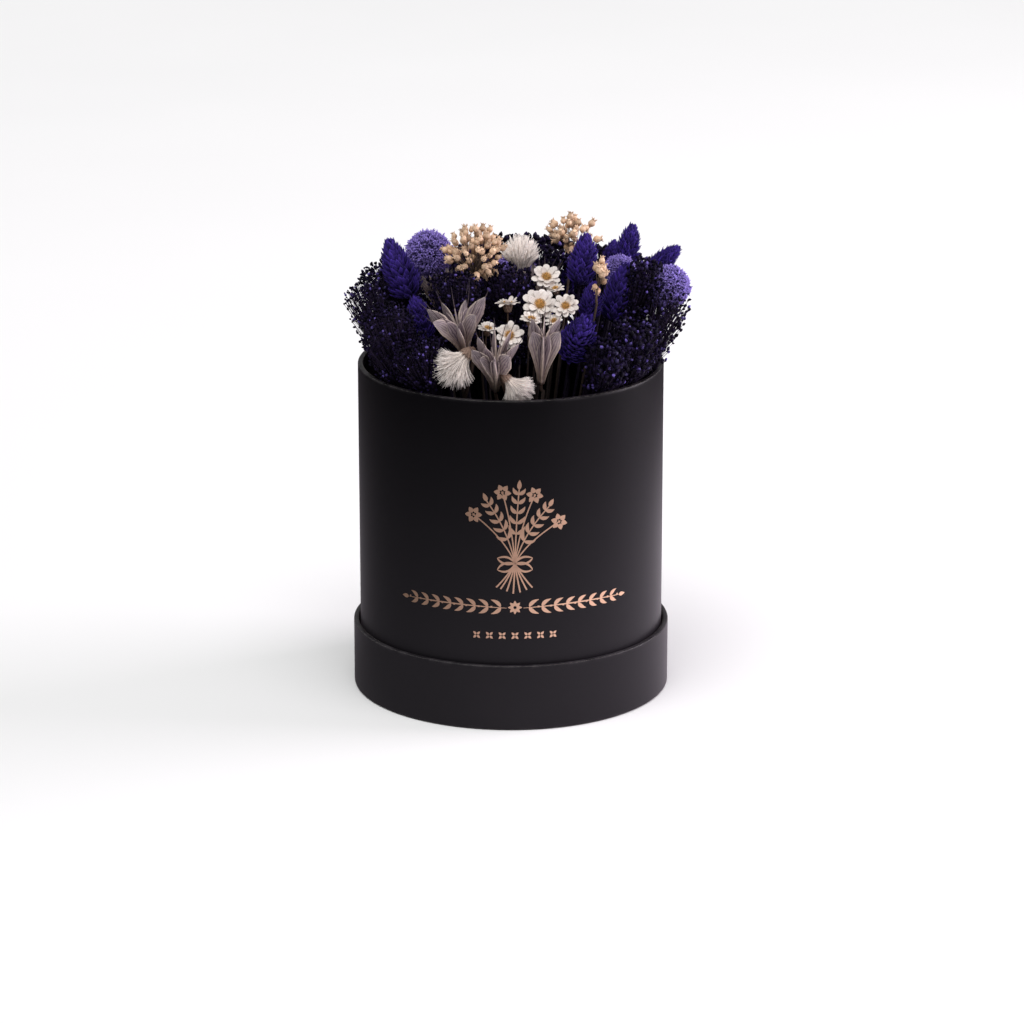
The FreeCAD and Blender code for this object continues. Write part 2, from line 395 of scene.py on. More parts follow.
# The core is partly the real spindle and partly painted shade: a thick near-black body seen between the
# scales.
GRASS_CORE = dried("canary_grass_core", (0.003, 0.001, 0.012), (0.005, 0.002, 0.02), specular=0.1)
FLORET = dried(
    "billy_button_floret", (0.034, 0.019, 0.130), (0.300, 0.225, 0.640), roughness=0.9, sheen=0.2,
    sheen_tint=(0.7, 0.65, 1.0), specular=0.15, reach=1.3, spread=0.55, mottle=0.3,
)
FLORET_CORE = dried("billy_button_core", (0.012, 0.006, 0.055), (0.03, 0.018, 0.11), specular=0.1)
DARK_STEM = dried("dyed_stem", (0.008, 0.005, 0.012), (0.014, 0.008, 0.028), mottle=0.6, specular=0.15)
THISTLE_HAIR = dried(
    "thistle_hair", (0.62, 0.50, 0.42), (0.93, 0.85, 0.80), roughness=0.6, sheen=0.3, reach=0.35, spread=0.3,
)
BRACT = dried(
    "bract", (0.14, 0.085, 0.06), (0.40, 0.28, 0.22), spread=0.4, ribs=7.0, rib_colour=(0.10, 0.06, 0.05),
    rib_share=0.5,
)
PETAL = dried(
    "daisy_petal", (0.66, 0.52, 0.40), (0.86, 0.80, 0.76), roughness=0.6, reach=0.35, spread=0.12,
    mottle=0.12, ribs=8.0, rib_colour=(0.56, 0.46, 0.40), rib_share=0.3, relief=0.5,
)
YOLK = dried("daisy_centre", (0.40, 0.20, 0.05), (0.62, 0.36, 0.12), spread=0.5, mottle=0.5)
POD = dried(
    "nigella_pod", (0.36, 0.23, 0.15), (0.36, 0.30, 0.31), roughness=0.6, reach=0.7, spread=0.25, mottle=0.45,
    ribs=10.0, rib_colour=(0.085, 0.055, 0.12), rib_share=0.85, margin_colour=(0.62, 0.50, 0.42),
    margin_share=0.8, relief=0.8, grain=420.0,
)
POD_INSIDE = dried(
    "nigella_pod_inside", (0.07, 0.045, 0.06), (0.34, 0.27, 0.29), roughness=0.6, reach=0.9, spread=0.3,
    ribs=7.0, rib_colour=(0.025, 0.014, 0.055), rib_share=0.9, margin_colour=(0.50, 0.40, 0.35),
    margin_share=0.8, relief=0.8, grain=420.0,
)
AWN = dried("nigella_awn", (0.12, 0.085, 0.085), (0.045, 0.034, 0.05))
BUD = dried(
    "cream_bud", (0.50, 0.30, 0.17), (0.80, 0.58, 0.41), roughness=0.7, reach=0.7, spread=0.35, mottle=0.3,
    ribs=5.0, rib_colour=(0.44, 0.26, 0.15), rib_share=0.35, relief=0.5,
)
BUD_TWIG = dried("bud_twig", (0.03, 0.02, 0.018), (0.22, 0.14, 0.09), reach=2.0)
BROWN_STEM = dried("brown_stem", (0.022, 0.015, 0.014), (0.16, 0.10, 0.075), reach=3.0, mottle=0.5)
BROOM_BUD = dried(
    "broom_bud", (0.0015, 0.0010, 0.0025), (0.009, 0.0045, 0.026), roughness=0.6, specular=0.08, spread=0.8,
    mottle=0.5,
)
# Lighter violet of the buds that catch the light: painted highlights.
BROOM_PAINTED_GLINT = dried(
    "broom_bud_painted_glint", (0.010, 0.006, 0.040), (0.085, 0.058, 0.260), roughness=0.6, specular=0.3, spread=0.9,
    mottle=0.5,
)
BROOM_TWIG = dried(
    "broom_twig", (0.003, 0.002, 0.004), (0.020, 0.012, 0.034), roughness=0.6, specular=0.15, spread=0.9,
    mottle=0.6,
)

# ---------------------------------------------------------------- box and lid


def node_box(name):
    """A CAD node's lowest and highest corners, in millimetres."""
    return [np.array(corner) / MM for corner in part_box(name)]


SEAM_STEP = 0.12  # how far the wrapping's overlap stands proud
SEAM_WIDTH = 12.0
SEAM_BEARING = math.radians(96)
EDGE_ROUND = 0.9  # radius of the paper where it goes round the board's edge
PAPER, BOARD = 0.25, 2.0
TURN_IN = {"lid_wrap": 12.0, "box_wrap": 15.0}
WEAR_REACH = 0.8  # from the rim and the bottom edge


def arc(centre_r, centre_z, radius, start, end, count=7):
    """Points of a round corner, from one angle to the other, in degrees."""
    angles = np.radians(steps(count, start, end))
    return np.stack((centre_r + radius * np.cos(angles), centre_z + radius * np.sin(angles)), axis=1)


def wrapping(name, body, finish):
    """The wrapping paper of a box or lid, from the CAD node's size: a closed skin turned about Z.

    Its half outline runs up the outside, over the rim in two round corners, down the inside to the
    turn-in's end, and back a paper's thickness further in. Round the back a strip of it stands
    proud, where the paper overlaps itself: r grows by SEAM_STEP over SEAM_WIDTH. The first mark is
    a bell of the height from the rim or the bottom edge, for wear, the second the depth below the
    rim as a share.
    """
    low, high = node_box(name)
    out = (high[0] - low[0]) / 2
    inner = out - 2 * PAPER - BOARD
    turn_in = TURN_IN[name]
    bottom, rim = low[2], high[2]
    r = EDGE_ROUND
    outer = np.concatenate(
        (
            [(out - turn_in, bottom), (out - 8, bottom), (out - r - 1, bottom)],
            arc(out - r, bottom + r, r, -90, 0),
            np.stack((np.full(24, out), steps(24, bottom + r + 1, rim - r - 1)), axis=1),
            arc(out - r, rim - r, r, 0, 90),
            arc(inner + r, rim - r, r, 90, 180),
            [(inner, rim - 4), (inner, rim - turn_in)],
        )
    )
    ahead = np.gradient(outer, axis=0)
    normal = np.stack((ahead[:, 1], -ahead[:, 0]), axis=1)
    normal /= np.linalg.norm(normal, axis=1, keepdims=True)
    inside = (outer - normal * PAPER)[::-1]
    outline = np.concatenate((outer, inside))
    sides = 256
    angles = np.arange(sides) * 2 * math.pi / sides
    across = np.arctan2(np.sin(angles - SEAM_BEARING), np.cos(angles - SEAM_BEARING)) * out
    seam = np.clip((1 - np.abs(across) / SEAM_WIDTH * 2) * 12, 0, 1) * SEAM_STEP
    outside = (outline[:, 0] > out - 0.01).astype(float)
    wave = 0.05 * np.sin(3 * angles + 0.7)[None, :] * np.sin(outline[:, 1] / 31.0)[:, None]
    radius = outline[:, 0][:, None] + outside[:, None] * (seam[None, :] + wave)
    points = radius[..., None] * outward(angles) + outline[:, None, 1:] * UP
    rings = len(outline)
    at = np.arange(rings * sides).reshape(rings, sides)
    right, above = np.roll(at, -1, axis=1), np.roll(at, -1, axis=0)
    both = np.roll(above, -1, axis=1)
    faces = np.stack((at, right, both, above), axis=-1).reshape(-1, 4)
    marks = np.zeros((rings, sides, 3))
    edge = np.minimum(np.abs(outline[:, 1] - rim), np.abs(outline[:, 1] - bottom))
    marks[..., 0] = np.exp(-((edge / WEAR_REACH) ** 2))[:, None] * (outline[:, 0] > inner - 0.1)[:, None]
    # The second mark carries the painted floor light: the black paper is painted lighter as it grows.
    marks[..., 1] = ((rim - outline[:, 1]) / (rim - bottom))[:, None]
    part = (points.reshape(-1, 3), [faces], marks.reshape(-1, 3))
    return piece(f"{name}_paper", [(part, finish)], body, name)


EMBLEM_MIDDLE = 2.0  # how far to the right of the box's middle the print's middle is
FOIL_THICKNESS = 0.05
TIE_HEIGHT, GARLAND_HEIGHT, FLORETS_HEIGHT = 84.0, 61.5, 47.5


def emblem():
    """A tied posy and two garlands in rose-gold foil, pressed on the front of the box.

    The design is drawn flat, s to the right and z up, and laid on the wall at
    (R sin(s/R), -R cos(s/R), z).
    """
    low, high = node_box("box_wrap")
    radius = (high[0] - low[0]) / 2 + 0.03

    def wall(flat):
        out = outward(flat[..., 0] / radius - math.pi / 2)
        return radius * out + flat[..., 1:] * UP, out

    t = steps(15)
    made = []

    def press(start, middle, end, half_width):
        """A foil stroke along a quadratic curve."""
        centre, out = wall(bow(start, middle, end, 15))
        made.append((sweep(centre, out, half_width, FOIL_THICKNESS, FLAT), FOIL))

    def taper(half):
        return half * (0.25 + 0.75 * np.sin(math.pi * t) ** 0.6)

    def leaf(half):
        return np.maximum(half * np.sin(math.pi * t**0.8) ** 0.8, 0.05)

    tie = np.array((EMBLEM_MIDDLE, TIE_HEIGHT))
    heads = [(-20, 24), (-13.5, 31), (-6, 35.5), (2, 37), (9.5, 34), (16.5, 28), (21.5, 20)]
    for number, head in enumerate(heads):
        head = np.array(head, float)
        top = tie + head
        bend = tie + np.array((head[0] * 0.25, head[1] * 0.55))
        foot = tie + np.array((-head[0] * 0.42, -15.5 + abs(head[0]) * 0.16))
        press(tie, bend, top, 0.32)
        press(tie, tie * 0.6 + foot * 0.4 + (0.0, -1.5), foot, 0.38)
        if number % 2:
            # A spray of leaf pairs, and one leaf at the end.
            for share in (0.38, 0.52, 0.66, 0.80, 0.93):
                base = (1 - share) ** 2 * tie + 2 * share * (1 - share) * bend + share**2 * top
                ahead = (top - bend) / np.linalg.norm(top - bend)
                for hand in (-1, 1):
                    out = np.array((ahead[1], -ahead[0])) * hand
                    size = 6.2 - 2.2 * share
                    tip = base + ahead * size * 0.75 + out * size * 0.72
                    middle = base + ahead * size * 0.15 + out * size * 0.55
                    press(base, middle, tip, leaf(0.95))
            press(top, top + head * 0.06, top + head * 0.13, leaf(1.1))
        else:
            # A blossom of six petals round a dot.
            for way in ring(6, number):
                press(top + way * 1.1, top + way * 2.4, top + way * 4.2, leaf(1.25))
            press(top - (0.55, 0), top, top + (0.55, 0), 0.55)
    for hand in (-1, 1):
        # The bow.
        for rise in (2.6, -3.2):
            loop = tie + (hand * 8.5, rise)
            press(tie, tie + (hand * 3.0, rise * 1.9), loop, taper(0.55))
            press(loop, tie + (hand * 6.0, -rise * 0.5), tie, taper(0.55))
    # The long garland: a stem with leaf pairs and berries, and the short one: a row of florets.
    reach = 58.0
    for hand in (-1, 1):
        start = np.array((EMBLEM_MIDDLE + hand * 4.0, GARLAND_HEIGHT))
        end = start + (hand * (reach - 6), 0.0)
        press(start, start + (hand * reach / 2, 1.5), end, taper(0.34))
        for step in range(8):
            base = start + (hand * (3 + step * 6.2), 0.5)
            size = 4.6 - step * 0.12
            for rise in (-1, 1):
                tip = base + (hand * size, rise * size * 0.78)
                middle = base + (hand * size * 0.15, rise * size * 0.55)
                press(base, middle, tip, leaf(0.95))
            dot = base + (hand * 4.4, 0)
            press(dot - (0.45, 0), dot, dot + (0.45, 0), 0.45)
        press(end, end + (hand * 1.8, 0), end + (hand * 4.0, 0), leaf(1.0))
    centre = np.array((EMBLEM_MIDDLE, GARLAND_HEIGHT + 0.3))
    for way in ring(8):
        press(centre + way * 0.7, centre + way * 1.9, centre + way * 3.4, leaf(0.8))
    for number in range(-3, 4):
        centre = np.array((EMBLEM_MIDDLE + number * 6.2, FLORETS_HEIGHT))
        for way in ring(4, math.pi / 4):
            press(centre + way * 0.35, centre + way * 1.2, centre + way * 2.3, leaf(0.6))
    return piece("foil_emblem", made, "box", smooth=False)


# ---------------------------------------------------------------- flowers

# A head's length against its greatest radius.
SLIMNESS = {
    "canary_grass": 27 / 7,
    "billy_button": 2.0,
    "thistle": 2.4,
    "daisy": 8 / 6.8,
    "nigella": 24 / 11,
    "bud_spray": 2.0,
    "broom_bloom": 44 / 8,
}


class Plant:
    """Where a CAD flower stands: foot, axis, head's base, length and girth, all in millimetres.

    A turned form's points lie evenly round its axis, so the axis runs from the middle of the foot's
    disc through the mean of all points. Local X is the direction across the axis that looks most to
    the front, local Z runs along the axis.
    """

    def __init__(self, node, kind):
        self.node = node
        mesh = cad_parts[node].data
        points = np.empty(len(mesh.vertices) * 3, np.float32)
        mesh.vertices.foreach_get("co", points)
        points = np.unique(np.round(points.reshape(-1, 3) / MM, 3), axis=0).astype(float)
        self.foot = points[points[:, 2].argmin()]
        for _ in range(4):
            self.axis = unit(points.mean(axis=0) - self.foot)
            along = points @ self.axis
            self.foot = points[along < along.min() + 0.1].mean(axis=0)
        away = points - self.foot
        away = away - np.outer(away @ self.axis, self.axis)
        self.girth = np.linalg.norm(away, axis=1).max()
        self.stem = np.linalg.norm(away[along < along.min() + 1.0], axis=1).max()
        self.length = SLIMNESS[kind] * self.girth
        self.base = self.foot + self.axis * (along.max() - along.min() - self.length)
        front = np.array((0.0, -1.0, 0.0))
        front = unit(front - self.axis * (front @ self.axis))
        self.turn = np.stack((front, np.cross(self.axis, front), self.axis), axis=1)
        self.random = np.random.default_rng(zlib.crc32(node.encode()))

    def pose(self, nod=0, swing=0, shift=(0, 0, 0)):
        """Sets how the head sits: nodded by an angle in the direction that a swing about the axis gives
        from the front, with its base shifted.
        """
        nod, swing = math.radians(nod), math.radians(swing)
        tilt = np.array(
            ((math.cos(nod), 0, math.sin(nod)), (0, 1, 0), (-math.sin(nod), 0, math.cos(nod)))
        )
        spin = np.array(
            ((math.cos(swing), -math.sin(swing), 0), (math.sin(swing), math.cos(swing), 0), (0, 0, 1))
        )
        self.head_turn = self.turn @ spin @ tilt @ spin.T
        self.head_base = self.base + self.turn @ np.array(shift)

    def stalk(self, material):
        """The stem from the foot to the head's base, straight, then bent into the head's direction."""
        head = self.head_turn[:, 2]
        bend = min(12.0, np.linalg.norm(self.base - self.foot) * 0.2)
        start = self.base - self.axis * bend
        straight = self.foot + np.outer(steps(8), start - self.foot)
        curve = bow(start, self.head_base - head * bend * 0.5, self.head_base + head * 0.8, 9)[0, 1:]
        path = np.concatenate((straight, curve))[None]
        width = self.stem * np.concatenate((np.full(8, 0.96), steps(8, 0.95, 0.85)))
        return sweep(path, np.array([[0.3, -0.95, 0.1]]), width, width, ring(6)), material


def head_of_grass(plant):
    """A canary grass head: pointed keeled scales in a golden-angle spiral over a spindle, made thick and
    near-black as painted shade that shows through the gaps between the scales.

    A scale's centre line leaves the spindle outwards and curves up along the head. Its half width
    is a sine of the length, and its edges fold back round the keel.
    """
    rnd, length, girth = plant.random, plant.length, plant.girth
    count = 270
    up = 0.01 + 0.95 * np.arange(count) / count
    angle = np.arange(count) * GOLDEN_ANGLE + rnd.normal(0, 0.08, count)
    spindle = girth * 0.64 * np.sin(math.pi * np.clip(0.12 + up * 0.88, 0, 1)) ** 0.6
    out = outward(angle)
    size = girth * (1.02 - 0.34 * up) * rnd.uniform(0.82, 1.15, count)
    lean = np.radians(50 - 30 * up - 24 * up**4 + rnd.normal(0, 6, count))
    root = spots(out, spindle * 0.78, up * length * 0.86 - 0.3)
    middle = root + leaning(out, lean + 0.30) * (size * 0.5)[:, None]
    tip = middle + leaning(out, lean - 0.30) * (size * 0.5)[:, None]
    t = steps(6)
    width = (girth * 0.20) * (0.35 + 0.65 * np.sin(math.pi * t**0.75) ** 0.8) * (1 - t**4 * 0.93)
    scales = sweep(
        bow(root, middle, tip, 6), out, width[None] * rnd.uniform(0.85, 1.15, (count, 1)), width * 0.30,
        ring(6), cup=-0.42, tint=rnd.random(count),
    )
    heights = steps(12)
    # The core: a thick near-black body, painted shade between the scales over the real spindle.
    core = turned(
        np.maximum(girth * 0.60 * np.sin(math.pi * np.clip(0.08 + heights * 0.92, 0, 1)) ** 0.55, 0.05),
        heights * length * 0.86, 12,
    )
    return [(core, GRASS_CORE), (scales, GRASS_SCALE)]


# Directions of a ball's pits as (front, right, up) in its own axes.
PITS = {
    "billy_button_1": [(0.80, -0.05, 0.50)],
    "billy_button_2": [(0.84, 0.40, 0.20), (0.88, -0.10, 0.12), (0.2, 0.7, 0.6)],
    "billy_button_3": [(0.90, -0.05, 0.05)],
    "billy_button_4": [(0.5, 0.5, 0.7), (-0.8, 0.2, 0.3)],
}


def head_of_button(plant):
    """A dyed button: short curling florets over a lumpy ball, in a golden-angle spiral, with pits.

    Near a pit the florets start deeper and are painted darker, as painted shade in the pit: depth and
    darkness fall off as a bell of the angle to it. The tint is also painted lighter on the ball's lumps
    and darker in its dips, as painted light and shade.
    """
    rnd, radius = plant.random, plant.girth
    count = 2600
    z = 1 - 1.90 * (np.arange(count) + 0.5) / count
    angle = np.arange(count) * GOLDEN_ANGLE
    flat = np.sqrt(1 - z**2)
    out = np.stack((flat * np.cos(angle), flat * np.sin(angle), z), axis=1)
    out = unit(out + rnd.normal(0, 0.03, out.shape))
    pits = unit(np.array([(f, -r, u) for f, r, u in PITS[plant.node]], float))
    near = np.exp(-((np.arccos(np.clip(out @ pits.T, -1, 1)) / 0.17) ** 2)).max(axis=1)
    lumps = (
        0.050 * np.sin(out[:, 0] * 7 + 1) * np.sin(out[:, 1] * 6 + 2) * np.sin(out[:, 2] * 8)
        + 0.035 * np.sin(out[:, 0] * 15) * np.sin(out[:, 1] * 17 + 1) * np.sin(out[:, 2] * 14 + 2)
    )
    base = radius * (0.79 + lumps - 0.30 * near)
    size = radius * 0.20 * rnd.uniform(0.7, 1.2, count)
    centre = UP * radius
    drift = rnd.normal(0, 0.55, out.shape)
    root = centre + out * base[:, None]
    middle = root + unit(out + drift) * (size * 0.6)[:, None]
    tip = middle + unit(out * 0.6 - drift + rnd.normal(0, 0.5, out.shape)) * (size * 0.55)[:, None]
    t = steps(4)
    width = radius * 0.027 * (1 + 0.8 * np.sin(math.pi * t) - 0.45 * t)
    florets = sweep(
        bow(root, middle, tip, 4), rnd.normal(0, 1, (count, 3)), width, width, ring(3),
        # Painted shade and light: the tint falls near a pit and in the dips, and rises on the lumps.
        tint=np.clip(rnd.normal(0.55, 0.2, count) + lumps * 4 - 0.9 * near, 0, 1),
    )
    lift = steps(16, -math.pi / 2, math.pi / 2)
    core = turned(np.maximum(radius * 0.70 * np.cos(lift), 0.05), radius + radius * 0.70 * np.sin(lift), 24)
    return [(core, FLORET_CORE), (florets, FLORET)]


# How far a thistle's hairs open from its axis in degrees, and how far they curl on.
OPENING = {"thistle_1": (40, 4), "thistle_2": (52, 26), "thistle_3": (46, 20)}


def bracts(random, radius, height, rows, number, size):
    """Overlapping pointed bracts in rows round a cup: each leans out a little and comes to a point."""
    count = rows * number
    row = np.repeat(np.arange(rows), number)
    angle = np.tile(np.arange(number), rows) * 2 * math.pi / number + row * math.pi / number
    out = outward(angle)
    share = row / max(rows - 1, 1)
    root = spots(out, radius * (0.45 + 0.35 * share), height * share * 0.55)
    middle = root + spots(out, size * 0.35, size * 0.45)
    tip = middle + spots(out, size * 0.08, size * 0.6)
    t = steps(5)
    width = size * 0.24 * (0.6 + 0.6 * np.sin(math.pi * t**0.7)) * (1 - 0.95 * t**3)
    return sweep(bow(root, middle, tip, 5), out, width, width * 0.2, ring(6), -0.3, random.random(count))


def head_of_thistle(plant):
    """A feathery head: fine hairs from a small cup, opening like a brush and curling outwards.

    The hairs start in a golden-angle spiral on the cup. A hair further out leans further, up to the
    head's opening, and is a quadratic curve with its tip bent further by the curl.
    """
    rnd, length, girth = plant.random, plant.length, plant.girth
    opening, curl = (math.radians(a) for a in OPENING[plant.node])
    count = 900
    share = np.sqrt((np.arange(count) + 0.5) / count)
    angle = np.arange(count) * GOLDEN_ANGLE
    out = outward(angle)
    lean = opening * share**1.2 + rnd.normal(0, 0.08, count)
    root = spots(out, share * girth * 0.22, length * 0.17)
    size = length * 0.86 * rnd.uniform(0.82, 1.05, count) * (1 - 0.30 * share**2)
    after = unit(leaning(out, lean + curl * share) + rnd.normal(0, 0.10, out.shape))
    middle = root + leaning(out, lean * 0.45) * (size * 0.5)[:, None]
    tip = middle + after * (size * 0.5)[:, None]
    hairs = round_twigs(rnd, bow(root, middle, tip, 6), 0.31 * (1 - 0.65 * steps(6)))
    cup = turned((plant.stem, girth * 0.22, girth * 0.28, girth * 0.26, 0.3),
                 (0, length * 0.06, length * 0.15, length * 0.20, length * 0.22), 16)
    return [(cup, BRACT), (bracts(rnd, girth * 0.30, length * 0.17, 3, 11, girth * 0.30), BRACT),
            (hairs, THISTLE_HAIR)]


def petals(random, count, inner, size, lift, rise, half):
    """Rounded petals in a ring: each runs outwards, cupped, with its end turned by a random lift.

    The half width is a root of a sine, blunt at the end.
    """
    angle = np.arange(count) * 2 * math.pi / count + random.normal(0, 0.07, count)
    out = outward(angle)
    lean = np.radians(lift + random.normal(0, 9, count))
    long = size * random.uniform(0.9, 1.08, count)
    root = spots(out, inner, rise)
    middle = root + spots(out, long * 0.5, 0.10 * size)
    tip = root + spots(out, np.cos(lean), np.sin(lean)) * long[:, None]
    t = steps(9)
    width = half * (0.40 + 0.60 * np.sqrt(np.clip(np.sin(math.pi * (0.06 + 0.80 * t**0.8)), 0, 1)))
    width = width * np.sqrt(np.clip(1 - (np.clip(t - 0.78, 0, 1) / 0.235) ** 2, 0.03, 1))
    return sweep(bow(root, middle, tip, 9), UP, width[None] * random.uniform(0.9, 1.1, (count, 1)),
                 0.11, ring(8), cup=random.uniform(-0.02, 0.22, (count, 1)), tint=random.random(count))


def head_of_daisy(plant):
    """A small dried daisy: two rings of petals, a domed centre of florets, and a cup of bracts."""
    rnd, girth, length = plant.random, plant.girth, plant.length
    eye = girth * 0.31
    level = length * 0.62
    outer = petals(rnd, 10, eye * 0.75, girth * 1.04 - eye * 0.75, 6, level, girth * 0.255)
    inner = petals(rnd, 7, eye * 0.70, girth * 0.84 - eye * 0.7, 24, level + 0.4, girth * 0.22)
    count = 80
    share = np.sqrt((np.arange(count) + 0.5) / count)
    angle = np.arange(count) * GOLDEN_ANGLE
    out = outward(angle)
    top = level + 0.3 + eye * 0.42 * np.sqrt(1 - 0.85 * share**2)
    root = spots(out, share * eye, top - 0.5)
    tip = root + unit(spots(out, share, 1.2)) * 0.95
    t = steps(4)
    width = eye * 0.085 * (1.1 - 0.6 * t**2)
    florets = sweep(bow(root, (root + tip) / 2, tip, 4), out, width, width, ring(4), tint=rnd.random(count))
    dome = turned((eye * 0.9, eye * 1.0, eye * 0.8, eye * 0.4, 0.05),
                  (level - 0.2, level + 0.25, level + eye * 0.30, level + eye * 0.42, level + eye * 0.45), 20)
    cup = turned((plant.stem, girth * 0.22, girth * 0.36, girth * 0.38, girth * 0.30),
                 (0, length * 0.10, length * 0.32, length * 0.52, length * 0.64), 16)
    scales = bracts(rnd, girth * 0.44, length * 0.75, 3, 10, girth * 0.34)
    return [(cup, BRACT), (scales, BRACT), (outer, PETAL), (inner, PETAL), (dome, YOLK), (florets, YOLK)]


# Each nigella pod's number of fins, and their reach outwards and upwards against girth and length.
FINS = {
    "nigella_1": (7, 1.22, 0.98),
    "nigella_2": (8, 1.00, 1.30),
    "nigella_3": (6, 0.88, 1.72),
    "nigella_4": (7, 1.10, 1.0),
    "nigella_5": (6, 0.95, 1.1),
}


def head_of_nigella(plant):
    """A star-shaped seed pod: flat keeled fins, joined along the axis below, each ending in an awn.

    A fin stands in a plane through the axis. Its centre line is a quadratic curve from the stem up
    and then outwards. Its half width grows evenly to a little past the middle, where the fins part,
    and comes to a point at the tip. Every other fin is shorter and steeper, with a longer awn.
    """
    rnd, length, girth = plant.random, plant.length, plant.girth
    number, outwards, upwards = FINS[plant.node]
    parts = []
    for inside in (False, True):
        angle = (np.arange(number) + 0.5 * inside) * 2 * math.pi / number + rnd.normal(0, 0.10, number)
        out = outward(angle)
        far = girth * outwards * (0.52 if inside else 1.0) * rnd.uniform(0.80, 1.12, number)
        high = length * upwards * (0.86 if inside else 1.0) * rnd.uniform(0.88, 1.06, number)
        tip = spots(out, far, high)
        t = steps(16)
        path = bow(out * 0.5, spots(out, far * 0.22, high * 0.60), tip, 16)
        across = unit(np.cross(UP, out) + rnd.normal(0, 0.22, out.shape))
        half = np.interp(t, (0, 0.25, 0.55, 0.74, 0.88, 1), (0.05, 0.09, 0.145, 0.162, 0.105, 0.006))
        width = half * length * upwards**0.5 * (0.75 if inside else 1.0)
        belly = np.interp(t, (0, 0.3, 0.6, 0.85, 1), (0.9, 1.35, 1.0, 0.5, 0.15)) * girth / 11
        finish = POD_INSIDE if inside else POD
        parts.append((sweep(path, across, width, belly, ring(12), 0.10, rnd.random(number)), finish))
        way = unit(path[:, -1] - path[:, -3])
        awn = length * (0.46 if inside else 0.24) * rnd.uniform(0.8, 1.2, number)
        bend = tip + way * (awn * 0.4)[:, None]
        end = bend + unit(way + UP * 0.7 + rnd.normal(0, 0.25, out.shape)) * (awn * 0.6)[:, None]
        thin = 0.25 * (1 - 0.6 * steps(6))
        parts.append((sweep(bow(tip - way * 0.8, bend, end, 6), across, thin, thin, ring(4)), AWN))
    neck = turned((plant.stem, plant.stem * 1.4, 1.9, 1.6, 0.5), (-0.6, 0.0, 1.6, 3.4, 4.6), 12)
    return parts + [(neck, POD)]


def ball_points(random, count, keep_apart):
    """Points in a unit ball, nearer its outside than even, each the keep-apart distance from others."""
    kept = np.empty((0, 3))
    while len(kept) < count:
        tries = unit(random.normal(0, 1, (600, 3))) * random.uniform(0.25, 1, (600, 1)) ** 0.5
        for point in tries:
            if len(kept) == 0 or np.linalg.norm(kept - point, axis=1).min() > keep_apart:
                kept = np.vstack((kept, point))
            if len(kept) == count:
                break
        keep_apart *= 0.93
    return kept


# How wide and how tall each bud spray is against a ball, and its number of buds.
SPRIGS = {"bud_spray_1": (1.0, 1.0, 84), "bud_spray_2": (1.0, 0.75, 46), "bud_spray_3": (0.5, 1.7, 11)}


def head_of_buds(plant):
    """A spray of urn-shaped buds at the ends of fine twigs that fork from the stem.

    The buds fill a ball. Each twig is a quadratic curve that leaves the stem with its branch, the
    nearest of a few main directions. A bud's half width swells and narrows, then opens into lobes.
    """
    rnd, radius = plant.random, plant.girth
    wide, tall, count = SPRIGS[plant.node]
    where = ball_points(rnd, count, 0.25)
    where[:, 2] = where[:, 2] * 0.9 + 0.08
    ends = where * radius * np.array((wide, wide, tall)) + UP * radius
    branch = unit(spots(outward(np.arange(7) * 0.9), 0.6, 0.8))
    nearest = branch[np.argmax(unit(where + UP * 0.6) @ branch.T, axis=1)]
    middle = UP * radius * 0.30 + nearest * (radius * 0.55 * wide)
    way = unit(ends - middle + rnd.normal(0, 0.6, ends.shape))
    twigs = round_twigs(rnd, bow(np.zeros((count, 3)), middle, ends, 6), 0.16)
    size = rnd.uniform(2.9, 4.2, count)
    t = steps(7)
    urn = np.interp(t, (0, 0.15, 0.45, 0.75, 1), (0.10, 0.32, 0.48, 0.34, 0.24))
    path = ends[:, None, :] + (t[None, :, None] - 0.15) * way[:, None, :] * size[:, None, None]
    buds = round_twigs(rnd, path, urn[None] * size[:, None], 8)
    lobes = 5
    side = unit(np.cross(way, rnd.normal(0, 1, (count, 3))))
    out = (ring(lobes) @ np.stack((side, np.cross(way, side)), axis=1)).reshape(-1, 3)
    way_each, size_each = np.repeat(way, lobes, axis=0), np.repeat(size, lobes)[:, None]
    root = np.repeat(path[:, 5], lobes, axis=0) + out * size_each * 0.20
    point = root + (way_each * 0.34 + out * 0.20) * size_each
    lobe = sweep(bow(root, root + way_each * size_each * 0.20, point, 4), out,
                 size_each * 0.15 * np.array((1, 1, 0.7, 0.12)), size_each * 0.05, ring(4),
                 tint=np.repeat(rnd.random(count), lobes))
    return [(twigs, BUD_TWIG), (buds, BUD), (lobe, BUD)]


# How wide each broom spray spreads against its CAD head, and the size of its buds: those at the
# back fill the gaps between the other flowers, partly as broom and partly as a dark fill that stands
# for the shade between them (painted shade), and those at the sides keep their outline close.
SPREAD = {
    1: (1.35, 1.0), 2: (1.75, 1.15), 3: (2.3, 1.2), 4: (2.0, 1.6), 5: (1.6, 1.2), 6: (2.1, 1.2),
    7: (2.3, 1.3), 8: (3.1, 1.8), 9: (3.3, 2.0), 10: (2.9, 1.7), 11: (1.55, 1.35), 12: (2.0, 1.6),
    13: (2.3, 1.2),
}
MOST_BUDS = 2700


